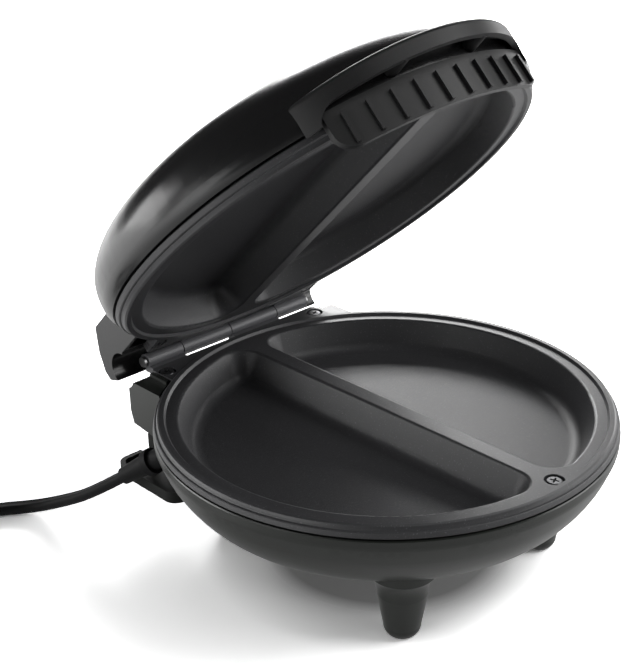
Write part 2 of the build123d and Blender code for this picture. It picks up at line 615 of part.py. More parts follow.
def along_y(radius, y0, y1, x):
    """A round bar at the height of the handle's screws."""
    return Pos(x, (y0 + y1) / 2, HANDLE_SCREW_Z) * Rot(90, 0, 0) * Cylinder(radius, y1 - y0)


def top_housing():
    well = Pos(0, HINGE_Y, HINGE_Z) * Rot(0, 90, 0) * Cylinder(WELL_R, 4 * BLOCK_HALF)
    plate_room = rod(PLATE_R + 0.5, HINGE_Z - 20, LID_RIM_Z)
    flange_room = block((-FLANGE_HALF - CHEEK_GAP, FLANGE_FRONT - 20, HINGE_Z - 20),
                        (FLANGE_HALF + CHEEK_GAP, HINGE_Y - 3, 2 * HINGE_Z - LAND_Z + FLANGE_T + 0.1))
    outside = lid_block()
    outside = fillet(outside.edges().filter_by(Axis.X).sort_by(Axis.Y)[-5:], 2.0)
    outside = outside - plate_room - flange_room + dome_solid(0)
    inside_half = BLOCK_HALF - WALL
    rear_cavity = block((-inside_half, FLANGE_FRONT, LID_RIM_Z - 2),
                        (inside_half, HINGE_Y - 10, HINGE_Z + 25 - WALL))
    housing = outside - dome_solid(WALL) - rear_cavity - well
    boss_top = 2 * HINGE_Z - LAND_Z + FLANGE_T + 0.1
    inner = dome_solid(WALL / 2) + rear_cavity
    for x, y in PLATE_SCREWS:
        stem = rod(4.2, boss_top, DOME_TOP_Z, (-x, y))
        housing += stem & inner
    for x in (-POST_X, POST_X):
        for y in (-POST_X, POST_X):
            housing += rod(4.0, 2 * HINGE_Z - REFLECTOR_Z + REFLECTOR_T, DOME_TOP_Z - 1, (x, y))
    for x, y in PLATE_SCREWS:
        housing -= rod(1.75, boss_top - 1, boss_top + 15, (-x, y))
    for x in (-POST_X, POST_X):
        for y in (-POST_X, POST_X):
            z = 2 * HINGE_Z - REFLECTOR_Z
            housing -= rod(1.45, z - 1, z + 7, (x, y))
    for x in LENS_X:
        housing -= rod(LENS_R + 0.1, DOME_TOP_Z - 12, DOME_TOP_Z + 5, (x, LENS_Y))
    for x in HANDLE_SCREW_X:
        housing += on_handle(along_y(HANDLE_PAD_R, HANDLE_SEAT_Y - 6, HANDLE_SEAT_Y, x)) & inner
    for x in HANDLE_SCREW_X:
        housing -= on_handle(along_y(1.8, HANDLE_SEAT_Y - 9, HANDLE_SEAT_Y + 10, x))
    return housing


def lens(x):
    """A small domed light guide through the lid's top."""
    flange_top = DOME_TOP_Z - WALL - FIT
    body = rod(LENS_R, flange_top - LENS_FLANGE, DOME_TOP_Z + LENS_RISE, (x, LENS_Y))
    body = fillet(body.edges().filter_by(GeomType.CIRCLE).group_by(Axis.Z)[-1], LENS_RISE)
    return body + rod(LENS_R + 1.2, flange_top - LENS_FLANGE, flange_top, (x, LENS_Y))


def indicator_lamps():
    top = DOME_TOP_Z - WALL - 2 * FIT - LENS_FLANGE
    return [fillet(rod(2.0, top - 3.6, top, (x, LENS_Y)).edges(), 0.8) for x in LENS_X]


def hood_plan(inset):
    """Seen from above: the arc of the hood, closed across the lid."""
    centre = -(HOOD_REACH - HOOD_ARC_R)
    return Pos(0, centre) * Circle(HOOD_ARC_R - inset) & Pos(0, -HOOD_REACH) * Rectangle(160, 2 * 45.0)


def handle_hood():
    """Hood that stands out from the lid, open underneath for the fingertips."""
    hood = extrude(Pos(0, 0, HOOD_ROOT) * hood_plan(0), HOOD_TOP - HOOD_ROOT)
    hood = fillet(hood.faces().sort_by(Axis.Z)[-1].edges().filter_by(GeomType.CIRCLE), 2.2)
    hollow = extrude(Pos(0, 0, HOOD_ROOT - 5) * hood_plan(HOOD_T), HOOD_TOP - HOOD_T - HOOD_ROOT + 5)
    hood -= hollow
    arch_h = HOOD_EDGE - HOOD_ROOT + 2 * HOOD_ARCH_R
    window = RectangleRounded(2 * HOOD_ARCH_HALF, arch_h, HOOD_ARCH_R)
    arch = Plane.XZ * (Pos(0, HOOD_EDGE - arch_h / 2) * window)
    hood -= extrude(Pos(0, 33.6 - HOOD_REACH, 0) * arch, 50)
    for x in HANDLE_SCREW_X:
        boss = along_y(BOSS_R, BOSS_Y - BOSS_L / 2, BOSS_Y + BOSS_L / 2, x)
        web = block((x - BOSS_WEB, BOSS_Y - BOSS_L / 2, HANDLE_SCREW_Z),
                    (x + BOSS_WEB, BOSS_Y + BOSS_L / 2, HOOD_TOP - 1))
        hood += boss + web
    hood = hood - dome_solid(0) - rod(DOME_R + 0.02, LID_RIM_Z - 20, DOME_SIDE_Z)
    for x in HANDLE_SCREW_X:
        hood -= along_y(1.55, BOSS_Y - BOSS_L / 2 + BOSS_END, BOSS_Y + BOSS_L / 2, x)
    return hood


def handle_grip():
    """Ribbed panel that hangs over the rim in front, down to the bowl."""
    outer = rod(GRIP_R, GRIP_BOTTOM, GRIP_TOP) - rod(GRIP_R - GRIP_T, GRIP_BOTTOM - 1, GRIP_TOP - GRIP_T)
    for i in range(RIB_COUNT):
        angle = (i - (RIB_COUNT - 1) / 2) * RIB_PITCH
        rib = Pos(0, -GRIP_R - RIB_H / 2 + 0.3, (GRIP_BOTTOM + 1.2 + RIB_TOP) / 2) * Box(
            RIB_T, RIB_H + 0.6, RIB_TOP - GRIP_BOTTOM - 1.2)
        outer += rib.rotate(Axis.Z, angle)
    half = GRIP_R * sin(radians(GRIP_ANGLE))
    height = GRIP_TOP - GRIP_BOTTOM + 20
    window = Plane.XZ * (Pos(0, GRIP_BOTTOM + height / 2) * RectangleRounded(2 * half, height, GRIP_CORNER))
    panel = outer & extrude(window, 140)
    return panel - dome_solid(0) - handle_hood()


def handle_screws():
    screws = []
    for x in HANDLE_SCREW_X:
        head = along_y(3.0, HANDLE_SEAT_Y, HANDLE_SEAT_Y + 1.6, x)
        shank = along_y(1.5, HANDLE_SEAT_Y - 8, HANDLE_SEAT_Y, x)
        screws.append(on_handle(head + shank))
    return screws


# ---------------------------------------------------------------- mains lead
def cord_points():
    """The lead's route, from the end of its sleeve to the coil."""
    start = exit_plane(BUSHING_L).origin
    after = exit_plane(BUSHING_L + CORD_FIRST_RUN).origin
    joint = coil_point(0) - coil_heading(0) * CORD_D
    before = joint - coil_heading(0) * CORD_LAST_RUN
    return [tuple(start), tuple(after), *CORD_ROUTE, tuple(before), tuple(joint)]


def bend_radii(points):
    """The largest arc at each corner that its two runs allow."""
    radii = []
    for a, b, c in zip(points, points[1:], points[2:]):
        run = min((Vector(*b) - Vector(*a)).length, (Vector(*c) - Vector(*b)).length)
        turn = radians((Vector(*b) - Vector(*a)).get_angle(Vector(*c) - Vector(*b)))
        radii.append(0.45 * run / tan(turn / 2))
    return radii


def mains_cord():
    """The stretch from the bushing to the coil."""
    points = cord_points()
    radii = bend_radii(points)
    print("cord bend radii", [round(r, 1) for r in radii], "of at least", 5 * CORD_D)
    path = FilletPolyline(*points, radius=radii)
    body = tube(path, CORD_D / 2)
    print("cord tube", round(body.volume / (pi * CORD_D ** 2 / 4), 1), "long,", round(path.length, 1))
    return body, path.length


def coil_pitch():
    return CORD_D + COIL_GAP


def coil_point(turns):
    """A point of the coil's middle line, so many turns from its start."""
    radius = COIL_INNER_R + coil_pitch() * abs(turns - COIL_TURNS_IN)
    climb = min(max((turns - COIL_TURNS_IN) * 2, -0.5), 0.5)
    z = CORD_D / 2 + COIL_LIFT + coil_pitch() * (1 + sin(pi * climb)) / 2
    angle = radians(COIL_START + 360 * turns)
    return Vector(COIL_AT[0] + radius * cos(angle), COIL_AT[1] + radius * sin(angle), z)


def coil_heading(turns):
    step = 0.02
    return (coil_point(turns + step) - coil_point(turns - step)).normalized()


def biarc(start, heading, end, last):
    """Two arcs that join two points with the given headings."""
    reach = end - start
    both = heading + last
    spread = 2 * (1 - heading.dot(last))
    push = reach.dot(both)
    size = (-push + (push ** 2 + spread * reach.dot(reach)) ** 0.5) / spread
    knee = start + heading * size
    after = end - last * size
    middle = (knee + after) * 0.5
    first = TangentArc(start, middle, tangent=heading)
    return [first, TangentArc(middle, end, tangent=after - knee)]


def cord_coil():
    """The put-away length: one tube that spirals in on the table and out again on top."""
    quarters = round((COIL_TURNS_IN + COIL_TURNS_OUT) * 4)
    stops = [q / 4 for q in range(quarters + 1)]
    arcs = []
    for a, b in zip(stops, stops[1:]):
        arcs += biarc(coil_point(a), coil_heading(a), coil_point(b), coil_heading(b))
    first, last = coil_heading(0), coil_heading(stops[-1])
    lead_in = Line(coil_point(0) - first * CORD_D, coil_point(0))
    lead_out = Line(coil_point(stops[-1]), coil_point(stops[-1]) + last * CORD_D)
    path = Wire([lead_in.edge(), *[arc.edge() for arc in arcs], lead_out.edge()])
    body = tube(path, CORD_D / 2)
    samples = [path @ (i / 600) for i in range(601)]
    apart = 600 * 4 * CORD_D / path.length
    gap = min((p - q).length for i, p in enumerate(samples) for q in samples[i + int(apart):]) - CORD_D
    print("coil", round(path.length, 1), "long, least gap to itself", round(gap, 2))
    print("coil tube", round(body.volume / (pi * CORD_D ** 2 / 4), 1), "long")
    return body, path.length


def cord_tie():
    """A strap round the turns of the coil."""
    room = CORD_D / 2 + 0.3
    passes = [TIE_ANGLE / 360 + k for k in range(3)]
    reach = [(coil_point(t) - Vector(*COIL_AT, 0)) for t in passes]
    radii = [hypot(r.X, r.Y) for r in reach]
    inner, outer, top = min(radii) - room, max(radii) + room, max(r.Z for r in reach) + room
    hole = block((inner, -TIE_W, TIE_T), (outer, TIE_W, top))
    strap = block((inner - TIE_T, -TIE_W / 2, 0), (outer + TIE_T, TIE_W / 2, top + TIE_T))
    strap = fillet((strap - hole).edges().filter_by(Axis.Y), TIE_T * 0.9)
    return Pos(*COIL_AT, 0) * Rot(0, 0, COIL_START + TIE_ANGLE) * strap


def plug_plane(distance):
    turns = COIL_TURNS_IN + COIL_TURNS_OUT
    heading = coil_heading(turns)
    point = coil_point(turns) + heading * (CORD_D + distance)
    return Plane(point, x_dir=(-heading.Y, heading.X, 0), z_dir=heading)


def plug_body():
    length, width, height = PLUG
    sleeve_l = 12.0
    sleeve = loft([plug_plane(0) * RectangleRounded(CORD_D + 0.6, CORD_D, 3),
                   plug_plane(sleeve_l) * RectangleRounded(width * 0.6, height - 0.6, 3)])
    body = extrude(plug_plane(sleeve_l) * RectangleRounded(width, height, 3), length)
    return sleeve + body


def plug_pins():
    start = 12.0 + PLUG[0]
    pins = []
    for side in (-1, 1):
        outline = Pos(side * PIN_PITCH / 2, 0) * Rectangle(1.5, 6.3)
        pins.append(extrude(plug_plane(start) * outline, PIN_TIP))
    return pins


# ---------------------------------------------------------------- pieces
def upper(piece):
    """The same piece in the lid."""
    pieces = piece if isinstance(piece, list) else [piece]
    return [turned_over(p) for p in pieces]


def foot_pads():
    pads = []
    for x in (-FOOT_X, FOOT_X):
        for y in (-FOOT_Y, FOOT_Y):
            pad = rod(PAD_R, 0, PAD_T, (x, y))
            pads.append(chamfer(pad.edges().group_by(Axis.Z)[0], 0.3))
    return pads


def build():
    cord, cord_length = mains_cord()
    coil, coil_length = cord_coil()
    print("whole lead", round(cord_length + coil_length + BUSHING_L), "mm")
    left, right = terminal_screws(), lower_wires()
    base = {
        "base_housing": bottom_housing(),
        "lower_plate": lower_plate(),
        "lower_plate_screws": plate_screws(),
        "lower_heating_element": heating_element(),
        "lower_clamp_bars": clamp_bars(),
        "lower_clamp_screws": clamp_screws(),
        "lower_reflector": reflector(),
        "lower_reflector_screws": reflector_screws(),
        "thermostat": thermostat(),
        "thermal_fuse": thermal_fuse(),
        "terminal_block": terminal_block(),
        "terminal_screws": left,
        "base_wires": right,
        "cord_bushing": cord_bushing(),
        "cord_cleat_left": cleat(-1),
        "cord_cleat_right": cleat(1),
        "cleat_screws": cleat_screws(),
        "hinge_pin": hinge_pin(),
        "hinge_clip": hinge_clip(),
    }
    for name, pad in zip(("left_front", "left_rear", "right_front", "right_rear"), foot_pads()):
        base["foot_pad_" + name] = pad
    lead_nodes = {
        "mains_cord": cord,
        "cord_coil": coil,
        "cord_tie": cord_tie(),
        "plug_body": plug_body(),
        "plug_pins": plug_pins(),
    }
    lid = {
        "lid_housing": top_housing(),
        "upper_plate": upper(lower_plate()),
        "upper_plate_screws": upper(plate_screws()),
        "upper_heating_element": upper(heating_element()),
        "upper_clamp_bars": upper(clamp_bars()),
        "upper_clamp_screws": upper(clamp_screws()),
        "upper_reflector": upper(reflector()),
        "upper_reflector_screws": upper(reflector_screws()),
        "handle_hood": on_handle(handle_hood()),
        "handle_grip": on_handle(handle_grip()),
        "handle_screws": handle_screws(),
        "lens_power": lens(LENS_X[0]),
        "lens_ready": lens(LENS_X[1]),
        "signal_lamps": indicator_lamps(),
    }
    return base, lead_nodes, lid


def solids_of(piece, opened=False):
    pieces = piece if isinstance(piece, list) else [piece]
    return [p.rotate(HINGE, OPEN_REST) for p in pieces] if opened else pieces


def main():
    base, lead_nodes, lid = build()
    nodes = {name: solids_of(piece) for name, piece in base.items()}
    nodes.update({name: solids_of(piece, opened=True) for name, piece in lid.items()})
    boxes = [p.bounding_box() for pieces in nodes.values() for p in pieces]
    front, back = min(b.min.Y for b in boxes), max(b.max.Y for b in boxes)
    middle = (front + back) / 2
    print("outline from", round(front, 2), "to", round(back, 2), "moved by", round(-middle, 3))
    nodes.update({name: solids_of(piece) for name, piece in lead_nodes.items()})
    os.makedirs("parts", exist_ok=True)
    for name, pieces in nodes.items():
        moved = [Pos(0, -middle, 0) * p for p in pieces]
        shape = moved[0] if len(moved) == 1 else Compound(children=moved)
        export_step(shape, "parts/" + name + ".step")


if __name__ == "__main__":
    main()
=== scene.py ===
# %% [markdown]
# # An electric omelette maker
# A round clam-shell cooker stands half open on a pale table. Its shape comes ready made, as a packed
# model in metres, so this script gives it its finishes, lays its mains lead, and sets up the light and
# the camera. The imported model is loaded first, because everything else takes its place from it.

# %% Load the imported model
import json
from math import cos, pi, radians, sin, tau

import bmesh
import bpy
from mathutils import Matrix, Vector


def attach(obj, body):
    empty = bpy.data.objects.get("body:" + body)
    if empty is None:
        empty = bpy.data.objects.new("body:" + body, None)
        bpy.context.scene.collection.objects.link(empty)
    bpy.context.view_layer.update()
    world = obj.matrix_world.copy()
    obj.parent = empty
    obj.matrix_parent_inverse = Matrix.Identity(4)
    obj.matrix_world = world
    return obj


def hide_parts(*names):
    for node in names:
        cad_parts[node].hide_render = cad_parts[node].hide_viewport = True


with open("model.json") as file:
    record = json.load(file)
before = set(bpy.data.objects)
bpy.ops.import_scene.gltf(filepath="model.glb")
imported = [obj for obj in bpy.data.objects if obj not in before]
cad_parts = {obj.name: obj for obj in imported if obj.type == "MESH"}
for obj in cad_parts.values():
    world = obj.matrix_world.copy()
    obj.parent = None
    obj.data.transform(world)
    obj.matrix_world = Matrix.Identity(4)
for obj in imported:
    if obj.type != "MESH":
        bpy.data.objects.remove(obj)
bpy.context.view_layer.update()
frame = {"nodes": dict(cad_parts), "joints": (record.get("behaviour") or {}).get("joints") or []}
bpy.ops.object.select_all(action="DESELECT")

# %% [markdown]
# The sizes below are in millimetres from the middle of the plates, because that is how the cooker is
# drawn. The hinge is the one place that both drawings share, so it tells where the plates' middle lies
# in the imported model.

# %% Sizes that the cells share
HINGE_Y = 109.0
HINGE_Z = 72.8
CREST_Z = 72.2

hinge = frame["joints"][0]
OPEN_ANGLE = radians(-hinge["range_deg"][0])
middle_y = hinge["pos_m"][1] - HINGE_Y / 1000


def place(x, y, z):
    """A point given in millimetres from the plates' middle, in the model's own metres."""
    return Vector((x / 1000, y / 1000 + middle_y, z / 1000))


print("plates' middle at y", round(middle_y, 5), "hinge at", [round(v, 4) for v in hinge["pos_m"]])

# %% [markdown]
# A camera can be aimed by hand or built from its own three directions. Here the photograph's eye is
# known as an angle round the cooker, an angle above the table and a small tilt, so the three directions
# are worked out from those angles and put in the camera's matrix as columns. The lens is a long one,
# and a small shift puts the cooker a little off the middle of the picture, as it is in the photograph.

# %% Camera
EYE = place(-374.52, -359.11, 343.34)
EYE_AROUND = radians(-44.253)
EYE_ABOVE = radians(25.700)
EYE_TILT = radians(-0.707)
PICTURE_WIDTH = 640
FOCAL_PIXELS = 1315.3
OFF_MIDDLE = (25.35, 26.0)

backward = Vector((sin(EYE_AROUND) * cos(EYE_ABOVE), -cos(EYE_AROUND) * cos(EYE_ABOVE), sin(EYE_ABOVE)))
level_right = Vector((cos(EYE_AROUND), sin(EYE_AROUND), 0))
level_up = backward.cross(level_right)
right = level_right * cos(EYE_TILT) + level_up * sin(EYE_TILT)
up = level_up * cos(EYE_TILT) - level_right * sin(EYE_TILT)

lens = bpy.data.cameras.new("camera")
lens.sensor_fit = "HORIZONTAL"
lens.sensor_width = 36.0
lens.lens = FOCAL_PIXELS / PICTURE_WIDTH * lens.sensor_width
lens.shift_x = -OFF_MIDDLE[0] / PICTURE_WIDTH
lens.shift_y = OFF_MIDDLE[1] / PICTURE_WIDTH
lens.clip_start, lens.clip_end = 0.01, 20
camera = bpy.data.objects.new("camera", lens)
turn = Matrix((right, up, backward)).transposed().to_4x4()
camera.matrix_world = Matrix.Translation(EYE) @ turn
bpy.context.scene.collection.objects.link(camera)
bpy.context.scene.camera = camera
print("lens", round(lens.lens, 1), "mm")

# %% [markdown]
# The mains lead is a flat two-core cable. It leaves the back of the bowl through a tapered sleeve, droops
# to the table and ends in a neat coil. A cable bends in one smooth line, so its middle is a NURBS curve
# that is pulled towards a few chosen points without touching them. The coil is part of the same curve:
# it winds inward on the table and outward again on top, and its points come from a formula.

# %% The lead's route
LEAD_WIDTH = 7.4
LEAD_THICK = 5.8
EXIT = Vector((-75.5, 72.5, 44.0))
AIM = Vector((-0.36, 0.74, -0.57)).normalized()
SLEEVE = 20.0
FIRST_RUN = 22.0
LAST_RUN = 22.0
ROUTE = [(-94.5, 118.5, 11.5), (-102.0, 136.5, 3.2), (-118.0, 149.0, 3.0), (-138.0, 157.5, 3.0)]
COIL_AT = (-204.0, 140.0)
COIL_START = 60.0
COIL_INNER = 31.0
COIL_PITCH = 7.9
TURNS_IN, TURNS_OUT = 2.25, 0.75
COIL_LOW, COIL_HIGH = 3.5, 9.6
PLUG_AXIS = 12.3
POINTS_A_TURN = 16
CLIMB = 0.25               # of a turn, on each side of the crossing from the lower layer to the upper
RISE_TO_PLUG = 0.12        # of a turn, at the end


def coil_point(turns):
    """A point of the coil, so many turns from its start."""
    radius = COIL_INNER + COIL_PITCH * abs(turns - TURNS_IN)
    climb = min(max((turns - TURNS_IN) / CLIMB, -1.0), 1.0)
    z = COIL_LOW + (COIL_HIGH - COIL_LOW) * (1 + sin(pi / 2 * climb)) / 2
    ending = min(max((turns - TURNS_IN - TURNS_OUT) / RISE_TO_PLUG + 1, 0.0), 1.0)
    z += (PLUG_AXIS - COIL_HIGH) * ending ** 2
    angle = radians(COIL_START) + tau * turns
    return Vector((COIL_AT[0] + radius * cos(angle), COIL_AT[1] + radius * sin(angle), z))


def coil_heading(turns, step=0.02):
    """The coil's direction at that point."""
    return (coil_point(turns + step) - coil_point(turns - step)).normalized()


total_turns = TURNS_IN + TURNS_OUT
joint_point = coil_point(0) - coil_heading(0) * LEAD_WIDTH
route = [EXIT + AIM * SLEEVE, EXIT + AIM * (SLEEVE + FIRST_RUN)]
route += [Vector(point) for point in ROUTE]
route += [joint_point - coil_heading(0) * LAST_RUN, joint_point]
route += [coil_point(i / POINTS_A_TURN) for i in range(int(total_turns * POINTS_A_TURN) + 1)]
route += [coil_point(total_turns) + coil_heading(total_turns) * LEAD_WIDTH]

lead_curve = bpy.data.curves.new("lead_line", "CURVE")
lead_curve.dimensions = "3D"
lead_curve.twist_mode = "Z_UP"
lead_spline = lead_curve.splines.new("NURBS")
lead_spline.points.add(len(route) - 1)
for control, point in zip(lead_spline.points, route):
    control.co = (*place(*point), 1)
lead_spline.order_u = 3
lead_spline.use_endpoint_u = True
lead_spline.resolution_u = 5
lead_line = bpy.data.objects.new("lead_line", lead_curve)
bpy.context.scene.collection.objects.link(lead_line)
bpy.context.view_layer.update()
line_mesh = bpy.data.meshes.new_from_object(lead_line)
bpy.data.meshes.remove(line_mesh)

# %% [markdown]
# The cable's section is two round cores side by side in one black jacket, with a shallow groove between
# them. That outline is a small closed curve. Blender sweeps it along the route as the curve's bevel
# object, and the result is then converted to a mesh, so that the outline is no longer needed.

# %% The lead's section, swept along the route
SECTION_POINTS = 28
GROOVE = 0.22              # depth of the groove, as a share of the cable's thickness
GROOVE_SHARP = 10          # a higher power makes the groove narrower
FLATNESS = 0.75            # 1 would be an ellipse
SMOOTH_BELOW = radians(50)

section_curve = bpy.data.curves.new("lead_section", "CURVE")
section_curve.dimensions = "2D"
section_spline = section_curve.splines.new("POLY")
section_spline.points.add(SECTION_POINTS - 1)
for i, control in enumerate(section_spline.points):
    angle = tau * i / SECTION_POINTS
    upright = abs(sin(angle))
    waist = 1 - GROOVE * upright ** GROOVE_SHARP
    side = 1 if sin(angle) >= 0 else -1
    x = LEAD_WIDTH / 2 * cos(angle)
    y = LEAD_THICK / 2 * upright ** FLATNESS * side * waist
    control.co = (x / 1000, y / 1000, 0, 1)
section_spline.use_cyclic_u = True
section = bpy.data.objects.new("lead_section", section_curve)
bpy.context.scene.collection.objects.link(section)

lead_curve.bevel_mode = "OBJECT"
lead_curve.bevel_object = section
lead_curve.use_fill_caps = True
bpy.context.view_layer.objects.active = lead_line
lead_line.select_set(True)
bpy.ops.object.convert(target="MESH")
lead = bpy.context.object
lead.name = "mains_lead"
bpy.data.objects.remove(section)
bpy.ops.object.shade_smooth_by_angle(angle=SMOOTH_BELOW)
bpy.ops.object.select_all(action="DESELECT")
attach(lead, "base")
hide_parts("mains_cord", "cord_coil")
place(*route[0])
print("lead mesh", len(lead.data.polygons), "faces")

# %% [markdown]
# A finish in Blender is a small graph of nodes, and long graphs are hard to follow as lists of links.
# So one small class stands for a node's output and understands plus, minus, times and the rest. A line
# of Python such as `0.3 + 0.05 * grain` then builds the maths nodes by itself.

# %% A class for shader maths
class Wire:
    """One output of a node, which can be used in sums."""

    def __init__(self, tree, output):
        self.tree = tree
        self.output = output

    def maths(self, operation, *values):
        node = self.tree.nodes.new("ShaderNodeMath")
        node.operation = operation
        for socket, value in zip(node.inputs, values):
            if isinstance(value, Wire):
                self.tree.links.new(value.output, socket)
            else:
                socket.default_value = value
        return Wire(self.tree, node.outputs[0])

    def __add__(self, other):
        return self.maths("ADD", self, other)

    def __sub__(self, other):
        return self.maths("SUBTRACT", self, other)

    def __rsub__(self, other):
        return self.maths("SUBTRACT", other, self)

    def __mul__(self, other):
        return self.maths("MULTIPLY", self, other)

    def __truediv__(self, other):
        return self.maths("DIVIDE", self, other)

    def __gt__(self, other):
        return self.maths("GREATER_THAN", self, other)

    def __lt__(self, other):
        return self.maths("LESS_THAN", self, other)

    def clamped(self):
        return self.maths("MINIMUM", self.maths("MAXIMUM", self, 0.0), 1.0)

    def between(self, low, high):
        """0 up to the low value, 1 from the high value on, and a straight line between them."""
        return ((self - low) / (high - low)).clamped()

    def root(self):
        return self.maths("POWER", self, 0.5)

    def absolute(self):
        return self.maths("ABSOLUTE", self)

    __radd__ = __add__
    __rmul__ = __mul__


# %% [markdown]
# Every finish starts from the same Principled shader. The class below makes one, adds nodes by their
# type, and links what it is given: a plain value goes on the socket, and a `Wire` becomes a link.

# %% A class for one finish
class Finish:
    """A material with one Principled shader and helpers for the nodes in front of it."""

    def __init__(self, name, color, roughness, metallic=0.0, **settings):
        self.material = bpy.data.materials.new(name)
        self.material.use_nodes = True
        self.tree = self.material.node_tree
        self.shader = self.tree.nodes["Principled BSDF"]
        self.set(self.shader, {"Base Color": (*color, 1), "Roughness": roughness, "Metallic": metallic})
        self.set(self.shader, settings)

    def set(self, node, values):
        """Links or fills sockets, which are given by name or, where names repeat, by number."""
        for name, value in values.items():
            socket = node.inputs[name.replace("_", " ") if isinstance(name, str) else name]
            if isinstance(value, Wire):
                self.tree.links.new(value.output, socket)
            else:
                socket.default_value = value

    def node(self, kind, settings, inputs, output=0):
        node = self.tree.nodes.new(kind)
        for name, value in settings.items():
            setattr(node, name, value)
        self.set(node, inputs)
        return Wire(self.tree, node.outputs[output])

    def position(self):
        """Where a point of the piece is, in the model's own metres."""
        return self.node("ShaderNodeTexCoord", {}, {}, output="Object")

    def along(self, vector, axis):
        """One of a vector's three numbers."""
        return self.node("ShaderNodeSeparateXYZ", {}, {"Vector": vector}, output=axis)

    def ray(self, kind):
        """1 where that kind of ray asks for the colour, else 0."""
        return self.node("ShaderNodeLightPath", {}, {}, output=kind)

    def noise(self, scale, detail=3.0, roughness=0.5):
        inputs = {"Vector": self.position(), "Scale": scale, "Detail": detail, "Roughness": roughness}
        return self.node("ShaderNodeTexNoise", {}, inputs)

    def blend(self, mask, first, second):
        """One colour where the mask is 0, another where it is 1."""
        ends = [color if isinstance(color, Wire) else (*color, 1) for color in (first, second)]
        return self.node("ShaderNodeMix", {"data_type": "RGBA"}, {0: mask, 6: ends[0], 7: ends[1]}, output=2)

    def bump(self, height, distance):
        inputs = {"Height": height, "Distance": distance, "Strength": 1.0}
        self.set(self.shader, {"Normal": self.node("ShaderNodeBump", {}, inputs)})

    def use(self, **inputs):
        self.set(self.shader, inputs)


def shade(color, factor):
    return tuple(channel * factor for channel in color)


# %% [markdown]
# Moulded black plastic is never perfectly even: the tool leaves a faint grain, and handling leaves parts
# a little glossier. Two noises do this, a fine one for the grain as a bump, and a wide one that moves
# the roughness and the colour a little. The bowl's plastic has a trace of green in its grey, and the
# lid's is glossier. The cleats are duller than the bowl, so they get less shine.

# %% Plastics
def moulded_plastic(name, color, roughness, grain, grain_scale=2600.0, shine=0.5):
    finish = Finish(name, color, roughness, Specular_IOR_Level=shine)
    cloud = finish.noise(9.0, detail=2.0)
    fine = finish.noise(grain_scale, detail=2.0)
    finish.use(
        Base_Color=finish.blend(cloud, shade(color, 0.88), shade(color, 1.12)),
        Roughness=roughness - 0.03 + 0.06 * cloud + 0.03 * fine,
    )
    finish.bump(fine, grain)
    return finish.material


BASE_BLACK = (0.020, 0.0225, 0.0195)
LID_BLACK = (0.014, 0.014, 0.0145)
HANDLE_BLACK = (0.019, 0.019, 0.0195)
CLEAT_BLACK = shade(BASE_BLACK, 0.35)

base_plastic = moulded_plastic("base_plastic", BASE_BLACK, 0.27, 0.00002)
lid_plastic = moulded_plastic("lid_plastic", LID_BLACK, 0.23, 0.00001)
handle_plastic = moulded_plastic("handle_plastic", HANDLE_BLACK, 0.40, 0.00003)
cleat_plastic = moulded_plastic("cleat_plastic", CLEAT_BLACK, 0.6, 0.00003, shine=0.25)
print("mouldings:", [made.name for made in (base_plastic, lid_plastic, handle_plastic, cleat_plastic)])

# %% [markdown]
# The plates are aluminium castings with a dark non-stick coating. Sprayed coating has a fine orange-peel
# surface and a scatter of bright specks. Outside, the casting is left rougher than on the cooking
# face, as if sand-cast, so a mask by height picks out the skirt. The knuckles round the hinge pin get a
# painted highlight: a second mask picks out what lies close to the hinge line and paints it paler. The
# upper plate is the same casting turned over and tilted, so both masks are read from the hinge line along
# its own directions.

# %% Non-stick castings
PLATE_GREY = (0.050, 0.050, 0.053)
SKIRT_TOP = CREST_Z - 1.6
# painted highlight: the knuckles and the flange's edge near the hinge line are painted paler, in place of
# their bright highlights
HIGHLIGHT_REACH = 0.0062        # in metres from the hinge line: the knuckles and the flange's edge
SPECK_LEVEL = 0.70         # a higher level leaves fewer specks
COATING_BUMP = 0.00012
# paler grey for the coating's real bright specks and for the painted highlight on the knuckles
SPECK_AND_HIGHLIGHT_GREY = shade(PLATE_GREY, 3.2)


def coated_casting(name, tilt):
    """The coating on a plate that is turned about the hinge line by an angle."""
    finish = Finish(name, PLATE_GREY, 0.36)
    hinge_at = place(0, HINGE_Y, HINGE_Z)
    from_hinge = finish.node(
        "ShaderNodeMapping", {"vector_type": "TEXTURE"},
        {"Vector": finish.position(), "Location": hinge_at, "Rotation": (tilt, 0, 0)})
    depth = finish.along(from_hinge, "Z")
    beside = finish.along(from_hinge, "Y")
    # mask of the painted highlight on the knuckles close to the hinge line
    knuckle_highlight = (beside * beside + depth * depth).root() < HIGHLIGHT_REACH
    skirt = depth.absolute() > (HINGE_Z - SKIRT_TOP) / 1000
    peel = finish.noise(900.0, detail=2.0)
    sand = finish.noise(2300.0, detail=4.0, roughness=0.7)
    specks = finish.noise(1500.0, detail=1.0) > SPECK_LEVEL
    wide = finish.noise(14.0, detail=2.0)
    coating = finish.blend(wide, shade(PLATE_GREY, 0.85), shade(PLATE_GREY, 1.15))
    # the coating's real bright specks, plus the knuckles' painted highlight
    specks_and_highlight = (specks * 0.5 + knuckle_highlight * 0.75).clamped()
    finish.use(
        Base_Color=finish.blend(specks_and_highlight, coating, SPECK_AND_HIGHLIGHT_GREY),
        Roughness=0.33 + 0.05 * wide + 0.05 * peel + 0.08 * skirt * sand,
    )
    finish.bump(peel * 0.35 + sand * skirt * 0.9, COATING_BUMP)
    return finish.material


lower_coating = coated_casting("lower_plate_coating", 0.0)
upper_coating = coated_casting("upper_plate_coating", -OPEN_ANGLE)
print("the upper plate's pattern is turned by", round(OPEN_ANGLE * 180 / pi, 1), "degrees")

# %% [markdown]
# The metals are few and small: dark screws in the plates, bright ones inside, a stainless hinge pin, the
# heating elements' heat-stained sheath and the reflectors' bright sheet. One helper makes them all, with
# a fine drawn grain in the roughness.

